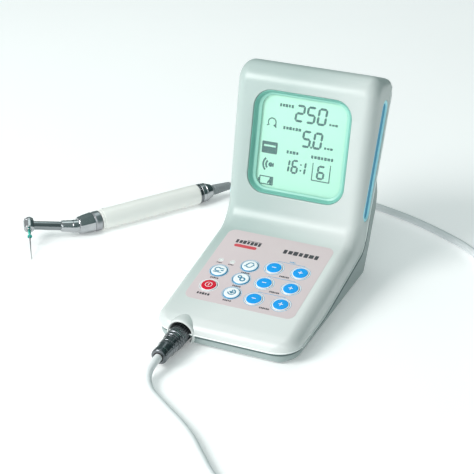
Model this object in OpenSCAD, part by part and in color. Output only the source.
// Endodontic motor: a table console with a keypad and a tilted display, a plug and
// cord, and a motor handpiece with a reduction contra-angle that lies beside it.
// Millimetres, +Z up, front at -Y. The origin is on the table under the console's centre.

/* [Console] */
// Width of the console
case_w = 110; // [106:1:114]
// Distance from the origin to the back of the case floor
foot_y = 71; // [69:1:73]
// Distance from the origin to the front of the casing
nose_y = 76.5; // [76:0.5:77]
// Radius of the casing's corners, seen from above and from the front
corner_r = 14; // [12:1:14]
// Wall thickness of the shells
wall = 2.5; // [2:0.1:2.8]
// Step from the front shell down to the rear shell
shell_step = 1.5; // [1:0.1:1.8]
// Height of the case floor above the table
floor_z = 1.5; // [1.2:0.1:2]

/* [Keypad] */
// Slope of the keypad
keypad_slope = 10; // [10:0.5:10.5]
// Length and width of the keypad overlay
overlay_size = 85.4; // [84:0.2:86]
// Diameter of a key
key_d = 13; // [12:0.2:13.4]
// Travel of a key
key_travel = 0.5; // [0.3:0.1:0.5]

/* [Display] */
// Lean of the display back from upright
display_tilt = 14; // [13:0.5:14]
// Width of the display window
window_w = 78.4; // [76:0.2:80]
// Height of the display window
window_h = 79.6; // [77:0.2:81]
// Corner radius of the display window
window_r = 14; // [10:1:16]

/* [Plug] */
// Diameter of the coupling ring
ring_d = 14.8; // [14.4:0.1:15]
// Diameter of the cord
cord_d = 6; // [5.8:0.1:6]

/* [Handpiece] */
// Diameter of the motor sleeve
sleeve_d = 17.3; // [17:0.1:17.3]
// Length of the motor sleeve with its nose ring
sleeve_len = 92; // [90:1:94]
// Length of the contra-angle from its collar to its bend
contra_len = 21; // [20:0.5:22]
// Bend of the contra-angle
neck_angle = 20; // [18:1:22]
// Distance from the bend to the head's axis
neck_len = 38; // [37:0.5:39]
// Working length of the file
file_len = 25; // [21:1:25]

/* [Hidden] */
$fn = 48;

eps = 0.02;
white = [0.93, 0.94, 0.94];
steel = [0.75, 0.76, 0.78];
dark_metal = [0.30, 0.31, 0.33];
board_green = [0.16, 0.42, 0.27];
cord_grey = [0.78, 0.79, 0.80];

// Keypad plane: its front edge, and the key centres in the plane (x, distance up the slope)
keypad_y = -48.5;
keypad_z = 22.2;
key_columns = [-29.8, -10.2, 7.8, 28.6];
key_power_at = [key_columns[0], 17];
key_reverse_at = [key_columns[0], 35];
key_auto_at = [key_columns[1], 47];
key_gear_at = [key_columns[1], 31];
key_memory_at = [key_columns[1], 14];
row_speed = 50.3;
row_torque = 31.6;
row_program = 12.8;
lights_at = [[-33.8, 47.5], [-24.4, 47.5]];

// Display plane: the middle of the window's bottom edge
display_y = 55.1;
display_z = 61.7;

// Back face of the base, where the battery cover and the power jack are
rear_low = [87, 23];
rear_high = [99, 46];
rear_angle = atan2(rear_high[1] - rear_low[1], rear_high[0] - rear_low[0]);
rear_mid = rear_low + 11.5 * [cos(rear_angle), sin(rear_angle)];
cover_size = [60, 17];
cover_x = -10;
jack_x = 36;

// Motor socket and plug, on one line along Y
socket_x = -31;
socket_z = 9;
socket_y = -61.5;
barrel_r = 5.8;
stem_r = 5.4;
nut_r = 7;
pocket_r = 8.8;
spigot_r = 4.5;
running = 0.08;
plug_end_y = -111;

// Handpiece, lying on its sleeve and on the tip of the file
bend_at = [-183, 39.2, sleeve_d / 2];
handpiece_yaw = -124.6;
handpiece_roll = 25;
sleeve_r = sleeve_d / 2;
front_x = -contra_len;
rear_x = front_x - sleeve_len;
cap_end_x = rear_x - 13.5;
guard_end_x = cap_end_x - 18.5;

// Cord: from the plug round the right side to a coil behind the console, then the handpiece
run_route = [[socket_x, plug_end_y, 9], [-31, -118, 8.6], [-31, -125, 6.6], [-28, -133, 4.2],
    [-21, -142, 3], [-11, -150, 3], [0, -158, 3], [14, -168, 3], [28, -180, 3], [42, -195, 3],
    [58, -211, 3], [78, -221, 3], [102, -222, 3], [128, -213, 3], [154, -198, 3],
    [180, -180, 3], [200, -156, 3], [207, -125, 3], [203, -90, 3], [194, -55, 3],
    [183, -20, 3], [173, 15, 3], [164, 50, 3], [154, 85, 3], [139, 116, 3], [116, 139, 3],
    [90, 155, 3], [63, 168, 3], [35, 178, 3], [8, 185, 3], [-15, 186, 3]];
tail_route = [[-15, 183, 8.2], [-31, 183.5, 9.2], [-47, 185, 7.4], [-62, 186, 4.6],
    [-77, 182, 3.4], [-91, 171.5, 6.2], [-99.9, 159.6, 8.65]];
coil_at = [-15, 150];
coil_low = [24, 30, 36];
coil_high = [27, 33];
coil_high_z = 8.2;
tie_angle = 290;

// Catmull-Rom curve through a route, with steps points on each stretch
function curve_point(a, b, c, d, t) = 0.5 * (2 * b + (c - a) * t
    + (2 * a - 5 * b + 4 * c - d) * t * t + (3 * b - a - 3 * c + d) * t * t * t);
function curve(route, steps) = let (n = len(route) - 1) concat(
    [for (i = [0 : n - 1], k = [0 : steps - 1])
        curve_point(route[max(i - 1, 0)], route[i], route[i + 1], route[min(i + 2, n)], k / steps)],
    [route[n]]);
function unit(v) = v / norm(v);
// Ring of a swept tube at point i of a path
function ring(path, i, r, sides) = let (
    n = len(path) - 1,
    ahead = unit(path[min(i + 1, n)] - path[max(i - 1, 0)]),
    side = unit(cross(ahead, [0, 0, 1])),
    top = cross(side, ahead))
    [for (k = [0 : sides - 1]) path[i] + r * (side * cos(360 * k / sides) + top * sin(360 * k / sides))];

module tube(path, r, sides = 10) {
    rings = len(path);
    points = [for (i = [0 : rings - 1]) each ring(path, i, r, sides)];
    walls = [for (i = [0 : rings - 2], k = [0 : sides - 1]) let (
        a = i * sides + k, b = i * sides + (k + 1) % sides) each [[a, b, a + sides], [b, b + sides, a + sides]]];
    ends = [[for (k = [sides - 1 : -1 : 0]) k], [for (k = [0 : sides - 1]) (rings - 1) * sides + k]];
    polyhedron(points, concat(walls, ends), convexity = 10);
}

// Local frames
module on_keypad() translate([0, keypad_y, keypad_z]) rotate([keypad_slope, 0, 0]) children();
module on_display() translate([0, display_y, display_z]) rotate([90 - display_tilt, 0, 0]) children();
module on_rear() translate([0, rear_mid[0], rear_mid[1]]) rotate([rear_angle - 180, 0, 0]) children();
module on_socket() translate([socket_x, 0, socket_z]) rotate([90, 0, 0]) children();
module on_handpiece() translate(bend_at) rotate([0, 0, handpiece_yaw])
    rotate([-handpiece_roll, 0, 0]) children();
module on_neck() on_handpiece() rotate([0, 0, -neck_angle]) children();
module on_head() on_neck() translate([neck_len, 0, 0]) rotate([-90, 0, 0]) children();

// Cylinder or cone along X from x0 to x1
module rod(x0, x1, r0, r1 = undef) translate([x0, 0, 0]) rotate([0, 90, 0])
    cylinder(h = x1 - x0, r1 = r0, r2 = is_undef(r1) ? r0 : r1);
// Cylinder or cone along Z from z0 to z1
module post(z0, z1, r0, r1 = undef) translate([0, 0, z0])
    cylinder(h = z1 - z0, r1 = r0, r2 = is_undef(r1) ? r0 : r1);
// Cylinder or cone on the socket's line from y0 up to y1, with radius r0 at y0
module plug_rod(y0, y1, r0, r1 = undef) on_socket() post(-y1, -y0, is_undef(r1) ? r0 : r1, r0);
// Rectangle with round corners, centred
module round_rect(w, h, r) {
    square([w - 2 * r, h], center = true);
    square([w, h - 2 * r], center = true);
    for (x = [-1, 1], y = [-1, 1]) translate([x * (w / 2 - r), y * (h / 2 - r)]) circle(r);
}

// --- Casing ---

function keypad_top(y) = keypad_z + (y - keypad_y) * tan(keypad_slope);
function display_front(z) = display_y + (z - display_z) * tan(display_tilt);
// Where the keypad plane meets the display plane
crease_y = (display_y + (keypad_top(0) - display_z) * tan(display_tilt))
    / (1 - tan(keypad_slope) * tan(display_tilt));

// Side outline of the casing, anticlockwise: y, z and corner radius
outline = [[-nose_y, floor_z - shell_step, 3], [foot_y, floor_z - shell_step, 3],
    [rear_low[0], rear_low[1], 20], [rear_high[0], rear_high[1], 6], [101, 60, 6], [96.5, 79, 12],
    [105.3, 96, 20], [115.8, 134, 8], [109.5, 147.5, 8], [92, 155, 12], [display_front(150.8), 150.8, 12],
    [crease_y, keypad_top(crease_y), 20], [-68, keypad_top(-68), 20], [-nose_y, 15.3, 7.5]];

// Outline point i moved in by d, with its radius changed to suit
function turn(u, v) = u[0] * v[1] - u[1] * v[0];
function moved_in(i, d) = let (
    n = len(outline), b = outline[i], a = outline[(i + n - 1) % n], c = outline[(i + 1) % n],
    u = unit([b[0] - a[0], b[1] - a[1]]), v = unit([c[0] - b[0], c[1] - b[1]]),
    nu = [-u[1], u[0]], nv = [-v[1], v[0]], shift = d * (nu + nv) / (1 + nu * nv))
    [b[0] + shift[0], b[1] + shift[1], max(b[2] - d * sign(turn(u, v)), 0.5)];

// Arc of n steps that rounds corner b between a and c
function corner_arc(a, b, c, n = 5) = let (
    u = unit([a[0] - b[0], a[1] - b[1]]), v = unit([c[0] - b[0], c[1] - b[1]]),
    half = acos(u * v) / 2,
    centre = [b[0], b[1]] + unit(u + v) * b[2] / sin(half),
    p = [b[0], b[1]] + u * b[2] / tan(half) - centre,
    q = [b[0], b[1]] + v * b[2] / tan(half) - centre,
    start = atan2(p[1], p[0]), sweep = (atan2(q[1], q[0]) - start + 540) % 360 - 180)
    [for (k = [0 : n]) centre + b[2] * [cos(start + sweep * k / n), sin(start + sweep * k / n)]];

function casing_outline(d) = let (n = len(outline), pts = [for (i = [0 : n - 1]) moved_in(i, d)])
    [for (i = [0 : n - 1]) each corner_arc(pts[(i + n - 1) % n], pts[i], pts[(i + 1) % n])];

// Solid of the whole casing, moved in by inset
module casing(inset) intersection() {
    rotate([90, 0, 90]) linear_extrude(case_w - 2 * inset, center = true) polygon(casing_outline(inset));
    translate([0, 20, -10]) linear_extrude(200)
        round_rect(case_w - 2 * inset, 2 * (nose_y + 20 - inset), corner_r - inset);
    translate([0, 150, 56]) rotate([90, 0, 0]) linear_extrude(250)
        round_rect(case_w - 2 * inset, 2 * (100 - inset), corner_r - inset);
}

parting = [[-90, 9.4], [-16, 10.8], [13, 16.4], [60, 25], [67, 33], [71.5, 44.5], [78.5, 62],
    [105, 127.5], [115, 160]];
module above_parting() rotate([90, 0, 90]) linear_extrude(140, center = true)
    polygon(concat(parting, [[113, 180], [-90, 180]]));
module below_parting() rotate([90, 0, 90]) linear_extrude(140, center = true)
    polygon(concat([for (p = parting) p + [0.15, -0.15]], [[140, 160], [140, -20], [-90, -20]]));

strip_low = [67, 55];
strip_high = [96.5, 128.5];
strip_r = 6.6;
// Slot-shaped bar between the ends of the side strip, from x0 to x1
module strip_bar(x0, x1, r) {
    run = norm(strip_high - strip_low);
    translate([x0, strip_low[0], strip_low[1]])
        rotate([atan2(strip_high[1] - strip_low[1], strip_high[0] - strip_low[0]), 0, 0]) {
            translate([0, 0, -r]) cube([x1 - x0, run, 2 * r]);
            rod(0, x1 - x0, r);
            translate([0, run, 0]) rod(0, x1 - x0, r);
        }
}

casing_posts = [for (x = [-45, 45], y = [-36, 30]) [x, y]];
post_split_z = 10;
feet = [for (x = [-45, 45], y = [-54, 54]) [x, y]];
foot_r = 5;
foot_top = 2.5;
key_board_posts = [for (x = [-36, 36], s = [5, 60]) [x, s]];
main_board_posts = [for (x = [-46.2, 46.2], u = [12, 68]) [x, u]];
key_board_n = -7.5;
main_board_n = -16.5;
key_hole_r = key_d / 2 + 0.3;
dome_h = 1.3;
all_keys = [key_power_at, key_reverse_at, key_auto_at, key_gear_at, key_memory_at,
    [key_columns[2], row_speed], [key_columns[3], row_speed], [key_columns[2], row_torque],
    [key_columns[3], row_torque], [key_columns[2], row_program], [key_columns[3], row_program]];

module front_shell() color(white) difference() {
    union() {
        intersection() {
            difference() {
                casing(0);
                casing(wall);
            }
            above_parting();
        }
        // pocket that the motor socket sits in
        intersection() {
            plug_rod(-66, socket_y + 2.5, pocket_r + 1.6);
            translate([-60, -75, floor_z]) cube([60, 25, 16.5]);
        }
        for (p = casing_posts) translate([p[0], p[1], 0]) post(post_split_z + 0.1, keypad_top(p[1]) - 1, 3.5);
        on_keypad() for (p = key_board_posts) translate(p) post(key_board_n, -1, 2.8);
        on_display() for (p = main_board_posts) translate(p) post(main_board_n, -1, 2.5);
    }
    plug_rod(-90, socket_y, pocket_r);
    plug_rod(-70, -50, stem_r + 0.1);
    for (p = casing_posts) translate([p[0], p[1], 0]) post(0, 18, 1.55);
    on_keypad() {
        translate([0, overlay_size / 2, -0.4]) linear_extrude(5)
            round_rect(overlay_size + 0.4, overlay_size + 0.4, 6.2);
        for (p = all_keys) translate(p) post(-5, 5, key_hole_r);
        for (p = lights_at) translate(p) post(-5, 5, 1.5);
        for (p = key_board_posts) translate(p) post(key_board_n - 1, -3.2, 1.1);
    }
    on_display() {
        translate([0, window_h / 2, -6]) linear_extrude(12) round_rect(window_w, window_h, window_r);
        for (p = main_board_posts) translate(p) post(main_board_n - 1, -4, 1.1);
    }
    for (s = [0, 1]) mirror([s, 0, 0]) strip_bar(case_w / 2 - 1.4, case_w / 2 + 5, strip_r);
}

module rear_shell() color(white * 0.97) difference() {
    union() {
        intersection() {
            difference() {
                casing(shell_step);
                casing(shell_step + wall);
            }
            below_parting();
        }
        for (p = casing_posts) translate([p[0], p[1], 0]) post(floor_z + 1, post_split_z, 3.5);
    }
    plug_rod(-90, socket_y + 3, pocket_r + 1.8);
    // room for the socket's nut and stem
    translate([socket_x - nut_r - 0.3, -59, 2.8]) cube([2 * nut_r + 0.6, 12, 10]);
    for (p = casing_posts) translate([p[0], p[1], 0]) {
        post(0, 20, 1.7);
        post(0, 5, 3);
    }
    for (p = feet) translate([p[0], p[1], 0]) post(0, foot_top, foot_r + 0.2);
    on_rear() {
        translate([cover_x, 0, -10]) linear_extrude(20) round_rect(cover_size[0], cover_size[1], 3);
        translate([jack_x, 0, -10]) post(0, 20, 4.1);
    }
}

module side_strip() color([0.15, 0.62, 0.80]) strip_bar(case_w / 2 - 1.4, case_w / 2 - 0.1, strip_r - 0.15);
module side_strip_left() mirror([1, 0, 0]) side_strip();
module side_strip_right() side_strip();

module rubber_feet() color([0.20, 0.20, 0.21]) for (p = feet) translate([p[0], p[1], 0])
    post(0, foot_top, foot_r);

module casing_screws() color(steel) for (p = casing_posts) translate([p[0], p[1], 0]) difference() {
    union() {
        post(3, 5, 2.8);
        post(4.9, 16, 1.5);
    }
    translate([-0.5, -2, 2]) cube([1, 4, 1.8]);
}

// --- Display ---

module lcd_bezel() color([0.62, 0.86, 0.80]) on_display() translate([0, window_h / 2, 0]) difference() {
    union() {
        translate([0, 0, -3.4]) linear_extrude(3) round_rect(window_w - 0.3, window_h - 0.3, window_r - 0.15);
        translate([0, 0, -5.6]) linear_extrude(2.4) round_rect(86, 87, 6);
    }
    translate([0, 0.3, -6]) hull() {
        linear_extrude(0.1) round_rect(66, 70, 9, $fn = 32);
        translate([0, -0.3, 5.7]) linear_extrude(0.1) round_rect(76, 77.4, 13, $fn = 32);
    }
}

// Plate behind the bezel, of size w by h between depths n0 and n1
module display_plate(w, h, n0, n1) on_display() translate([0, window_h / 2, n0])
    linear_extrude(n1 - n0) round_rect(w, h, 2);
module display_lens() color([0.85, 0.97, 0.93, 0.4]) display_plate(80, 82, -6.9, -5.7);
module lcd_panel() color([0.75, 0.98, 0.90]) display_plate(76, 79, -9.4, -7);
module backlight() color([0.95, 0.97, 0.95]) display_plate(74, 77, -12.6, -9.5);

module main_board() color(board_green) on_display() difference() {
    translate([-49, 6, main_board_n - 1.6]) cube([98, 68, 1.6]);
    for (p = main_board_posts) translate(p) post(main_board_n - 3, main_board_n + 1, 1.35);
}

// Chips and connectors on the back of the main board: centre, size and height
components = [[[-20, 30], [16, 16], 2], [[14, 28], [10, 8], 1.8], [[-34, 52], [12, 10], 6],
    [[2, 52], [18, 7], 5], [[34, 20], [10, 12], 7], [[-8, 12], [24, 5], 6]];
module board_components() color([0.12, 0.12, 0.13]) on_display() for (c = components)
    translate([c[0][0] - c[1][0] / 2, c[0][1] - c[1][1] / 2, main_board_n - 1.6 - c[2]])
        cube([c[1][0], c[1][1], c[2]]);

module buzzer() color([0.1, 0.1, 0.1]) on_display() translate([30, 54, 0]) difference() {
    post(main_board_n - 8, main_board_n - 1.6, 6);
    post(main_board_n - 9, main_board_n - 6, 1);
}

// Screws that hold the two boards to the posts of the front shell
module board_screw(n) {
    post(n - 1.8, n, 2.1);
    post(n - 0.1, n + 4, 1.05);
}
module board_screws() color(steel) {
    on_keypad() for (p = key_board_posts) translate(p) board_screw(key_board_n - 1.6);
    on_display() for (p = main_board_posts) translate(p) board_screw(main_board_n - 1.6);
}

// --- Keypad ---

module keypad_overlay() color([0.86, 0.83, 0.85]) on_keypad() difference() {
    translate([0, overlay_size / 2, -0.4]) linear_extrude(0.5) round_rect(overlay_size, overlay_size, 6);
    for (p = all_keys) translate(p) post(-2, 2, key_hole_r);
    for (p = lights_at) translate(p) post(-2, 2, 1.5);
}

module status_lights() color([0.55, 0.85, 0.35]) on_keypad() for (p = lights_at) translate(p)
    post(key_board_n, 0, 1.3);

module key_board() color(board_green) on_keypad() difference() {
    translate([-40, 1, key_board_n - 1.6]) cube([80, 63, 1.6]);
    for (p = key_board_posts) translate(p) post(key_board_n - 3, key_board_n + 1, 1.2);
}

module dome_switches() color(steel) on_keypad() for (p = all_keys) translate(p)
    post(key_board_n, key_board_n + dome_h, 3.6, 2.6);

module ribbon_cable() color([0.85, 0.85, 0.80]) translate([19, 0, 0]) rotate([90, 0, 90]) linear_extrude(13)
    polygon([[12, 23.15], [50, 29], [66, 36], [74.6, 61], [74.2, 61.2], [65.7, 36.4], [49.8, 29.4], [12, 23.55]]);

// Key cap with a retaining flange and a plunger that meets its dome switch
module key(at, tint) color(tint) on_keypad() translate(at) {
    post(-3, 0.5, key_d / 2);
    post(0.5 - eps, 0.9, key_d / 2, key_d / 2 - 0.5);
    post(-3.8, -2.8, key_d / 2 + 0.9);
    post(key_board_n + dome_h + key_travel + 0.1, -3.7, 2);
}
red = [0.88, 0.10, 0.12];
pale = [0.93, 0.95, 0.96];
blue = [0.10, 0.55, 0.90];
module key_power() key(key_power_at, red);
module key_reverse() key(key_reverse_at, pale);
module key_auto_reverse() key(key_auto_at, pale);
module key_gear() key(key_gear_at, pale);
module key_memory() key(key_memory_at, pale);
module key_speed_down() key([key_columns[2], row_speed], blue);
module key_speed_up() key([key_columns[3], row_speed], blue);
module key_torque_down() key([key_columns[2], row_torque], blue);
module key_torque_up() key([key_columns[3], row_torque], blue);
module key_program_down() key([key_columns[2], row_program], blue);
module key_program_up() key([key_columns[3], row_program], blue);

// --- Power ---

module battery_pack() color([0.15, 0.35, 0.55]) for (x = [-28, -9.3, 9.3]) translate([x - 9.2, 39, 8])
    linear_extrude(24) translate([9.2, 16]) round_rect(18.4, 32, 4);

module battery_cover() color(white * 0.95) on_rear() translate([cover_x, 0, -shell_step]) difference() {
    union() {
        translate([0, 0, -2]) linear_extrude(2) round_rect(cover_size[0] - 0.6, cover_size[1] - 0.6, 2.7);
        for (k = [-3 : 3]) translate([-10, k * 1.6 - 0.4, -0.1]) cube([20, 0.8, 0.5]);
    }
    translate([-15, -5, -2.5]) cube([30, 10, 1.2]);
}

module power_jack() color([0.08, 0.08, 0.09]) on_rear() translate([jack_x, 0, 0]) {
    difference() {
        union() {
            post(-15, -0.9, 4);
            post(-15, -4.3, 5.5);
            post(-1.5, -0.7, 5.2);
        }
        post(-12, 1, 2.8);
    }
    post(-13, -3, 0.95);
}

// --- Motor socket and plug ---

module motor_socket() color(steel) difference() {
    union() {
        plug_rod(-70, socket_y, barrel_r);
        plug_rod(-63, socket_y, 7.6);
        plug_rod(socket_y - eps, -48, stem_r);
    }
    plug_rod(-71, -56, spigot_r + 0.06);
}

module socket_nut() color(steel) difference() {
    on_socket() post(56, 58.8, nut_r, $fn = 6);
    plug_rod(-60, -54, stem_r + 0.05);
}

module socket_pins() color([0.85, 0.70, 0.35]) on_socket() for (a = [0 : 60 : 300]) rotate([0, 0, a])
    translate([2.3, 0, 0]) post(56, 66, 0.5);

module plug_body() color(dark_metal) difference() {
    union() {
        plug_rod(-70.3, -57.5, spigot_r);
        plug_rod(-91.9, -70.2, barrel_r);
        plug_rod(-91.9, -89.9, 7);
    }
    plug_rod(-88, -57, 3.6);
}

// Coupling ring: turns on the socket's barrel and the plug's body
module plug_ring() color(dark_metal) difference() {
    union() {
        plug_rod(-89.7, -65, ring_d / 2 - 0.8);
        plug_rod(-71.5, -65.5, ring_d / 2 - 0.2);
        plug_rod(-84.5, -73.5, ring_d / 2);
        plug_rod(-89.2, -86, ring_d / 2 - 0.2);
    }
    plug_rod(-95, -64, barrel_r + running);
    on_socket() for (a = [0 : 15 : 345]) rotate([0, 0, a]) translate([ring_d / 2, -0.4, 74.5])
        cube([1, 0.8, 9]);
}

module plug_clamp() color(dark_metal) difference() {
    union() {
        plug_rod(-98, -92, 6.5);
        plug_rod(-106, -98, 6.2, 6.5);
        plug_rod(plug_end_y, -106, 5.4, 6.2);
        plug_rod(-101.5, -99.5, 6.6);
    }
    plug_rod(-112, -91, 4);
}

module cord_gland() color([0.35, 0.35, 0.36]) plug_rod(plug_end_y, -92.2, 3.9);

// --- Cord ---

module cord_run() color(cord_grey) tube(curve(run_route, 2), cord_d / 2);
module cord_tail() color(cord_grey) tube(curve(tail_route, 2), cord_d / 2);
module cord_coil() color(cord_grey) translate([coil_at[0], coil_at[1], 0]) rotate_extrude() polygon([
    [coil_low[0] - 3, 0], [coil_low[2] + 3, 0], [coil_low[2] + 3, 4], [coil_high[1] + 3, coil_high_z + 3],
    [coil_high[0] - 3, coil_high_z + 3], [coil_low[0] - 3, 4]]);

module cord_tie() color([0.2, 0.2, 0.22]) translate([coil_at[0], coil_at[1], 0]) rotate([0, 0, tie_angle])
    rotate([90, 0, 0]) linear_extrude(9, center = true) difference() {
        polygon([[19.4, 0], [40.6, 0], [40.6, 4.6], [37, 12.8], [23, 12.8], [19.4, 4.6]]);
        polygon([[20.4, -1], [39.6, -1], [39.6, 4.2], [36.4, 11.6], [23.6, 11.6], [20.4, 4.2]]);
    }

// --- Handpiece ---

button_x = front_x - 7;
button_r = 2.4;
nose_len = 2.5;
module motor_sleeve() color(white) on_handpiece() difference() {
    rod(rear_x, front_x - nose_len, sleeve_r);
    rod(rear_x - 1, front_x, sleeve_r - 1);
    translate([button_x, 0, 0]) rotate([90, 0, 0]) post(0, 12, button_r + 0.1);
}

module nose_ring() color(dark_metal) on_handpiece() difference() {
    union() {
        rod(front_x - nose_len, front_x - 0.3, sleeve_r - 0.2);
        rod(front_x - 12, front_x - nose_len, sleeve_r - 1.05);
    }
    rod(front_x - 13, front_x, 3);
    translate([button_x, 0, 0]) rotate([90, 0, 0]) post(0, 12, button_r + 0.1);
}

module end_cap() color(steel) on_handpiece() difference() {
    union() {
        rod(rear_x - 5.5, rear_x - 0.1, sleeve_r - 0.2);
        rod(rear_x - 7, rear_x - 5.4, sleeve_r - 0.9);
        rod(cap_end_x, rear_x - 7, 5.6, sleeve_r - 0.5);
        rod(rear_x - 0.2, rear_x + 5, sleeve_r - 1.05);
    }
    rod(cap_end_x - 1, rear_x + 6, 3.7);
}

module cord_guard() color([0.70, 0.71, 0.72]) on_handpiece() {
    rod(guard_end_x, cap_end_x, 3.2, 4.6);
    rod(cap_end_x - eps, cap_end_x + 8, 3.6);
}

module motor_can() color(steel) on_handpiece() difference() {
    union() {
        rod(rear_x + 12, front_x - 34, 7.3);
        rod(front_x - 34 - eps, front_x - 30, 4);
    }
    rod(rear_x + 13.5, front_x - 35.5, 6.3);
    rod(rear_x + 11, front_x - 29, 2.2);
}

module motor_bearings() color(steel) on_handpiece() for (x = [rear_x + 14, front_x - 39]) difference() {
    rod(x, x + 3, 6.2);
    rod(x - 1, x + 4, 1.5 + running);
}

module motor_rotor() color([0.65, 0.45, 0.25]) on_handpiece() {
    rod(rear_x + 10, front_x + 4, 1.5);
    rod(rear_x + 19, front_x - 43, 5.6);
}

module handpiece_button() color([0.12, 0.42, 0.72]) on_handpiece() translate([button_x, 0, 0])
    rotate([90, 0, 0]) {
        post(sleeve_r - 2, sleeve_r + 0.6, button_r);
        post(sleeve_r - 3, sleeve_r - 2 + eps, 1.4);
    }

// --- Contra-angle ---

module contra_body() color(steel) difference() {
    union() {
        on_handpiece() {
            rod(front_x, front_x + 6, 8);
            rod(front_x + 6 - eps, -2, 8, 6);
            sphere(5.8);
        }
        on_neck() rod(0, 17, 5.2, 4.2);
    }
    on_handpiece() rod(front_x - 1, -4, 4.2);
    on_neck() rod(-5, 18, neck_r + 0.05);
}

neck_r = 3.5;
head_r = 4.3;
module neck_tube() color(steel) on_neck() difference() {
    rod(5, neck_len - 4.1, neck_r);
    rod(4, neck_len, 2);
}

// Sealed reduction gears; its blind hole takes the rotor's end
module gear_cartridge() color([0.55, 0.56, 0.58]) on_handpiece() difference() {
    rod(front_x + 1.5, -5, 4.1);
    rod(front_x, front_x + 5, 1.5 + running);
}

module neck_shaft() color(steel) on_neck() {
    rod(1.5, neck_len - 5, 1.1);
    rod(neck_len - 5 - eps, neck_len - 3.1, 1.7, 1.2);
}

module head_housing() color(steel) difference() {
    on_head() union() {
        post(-4.3, 3.9, head_r);
        post(3.9 - eps, 4.6, head_r, head_r - 0.8);
    }
    on_head() {
        post(-5, 3.4, 2.9);
        post(3, 5, 1.9);
    }
    on_neck() rod(neck_len - 5, neck_len, 2);
    on_neck() rod(neck_len - 6, neck_len - 4, neck_r + 0.05);
}

// Chuck with its crown gear; the file's shank is held in its bore
module chuck() color([0.60, 0.61, 0.63]) on_head() difference() {
    union() {
        post(-3.4, 4.2, 1.8);
        post(-1.6, 0.6, 2.7);
    }
    post(-4, 5, 1.2);
}

module push_cap() color(steel) on_head() {
    post(-5.6, -4.9, 3.8);
    post(-6, -5.6 + eps, 3, 3.8);
    post(-5, -4.2, 2.5);
}

blade_z = 10;
module endodontic_file() color([0.45, 0.72, 0.66]) on_head() {
    post(-3, blade_z - 1.6, 1.17);
    post(blade_z - 1.6 - eps, blade_z, 1.17, 0.55);
    post(blade_z - eps, blade_z + file_len, 0.55, 0.15);
    post(blade_z + 0.8, blade_z + 2.6, 2);
}

front_shell();
rear_shell();
side_strip_left();
side_strip_right();
lcd_bezel();
display_lens();
lcd_panel();
backlight();
main_board();
board_components();
buzzer();
keypad_overlay();
status_lights();
key_board();
dome_switches();
ribbon_cable();
board_screws();
casing_screws();
rubber_feet();
battery_pack();
battery_cover();
power_jack();
motor_socket();
socket_nut();
socket_pins();
key_power();
key_reverse();
key_auto_reverse();
key_gear();
key_memory();
key_speed_down();
key_speed_up();
key_torque_down();
key_torque_up();
key_program_down();
key_program_up();
plug_body();
plug_ring();
plug_clamp();
cord_gland();
cord_run();
cord_coil();
cord_tie();
cord_tail();
motor_sleeve();
nose_ring();
end_cap();
cord_guard();
motor_can();
motor_bearings();
motor_rotor();
handpiece_button();
contra_body();
neck_tube();
gear_cartridge();
neck_shaft();
head_housing();
chuck();
push_cap();
endodontic_file();
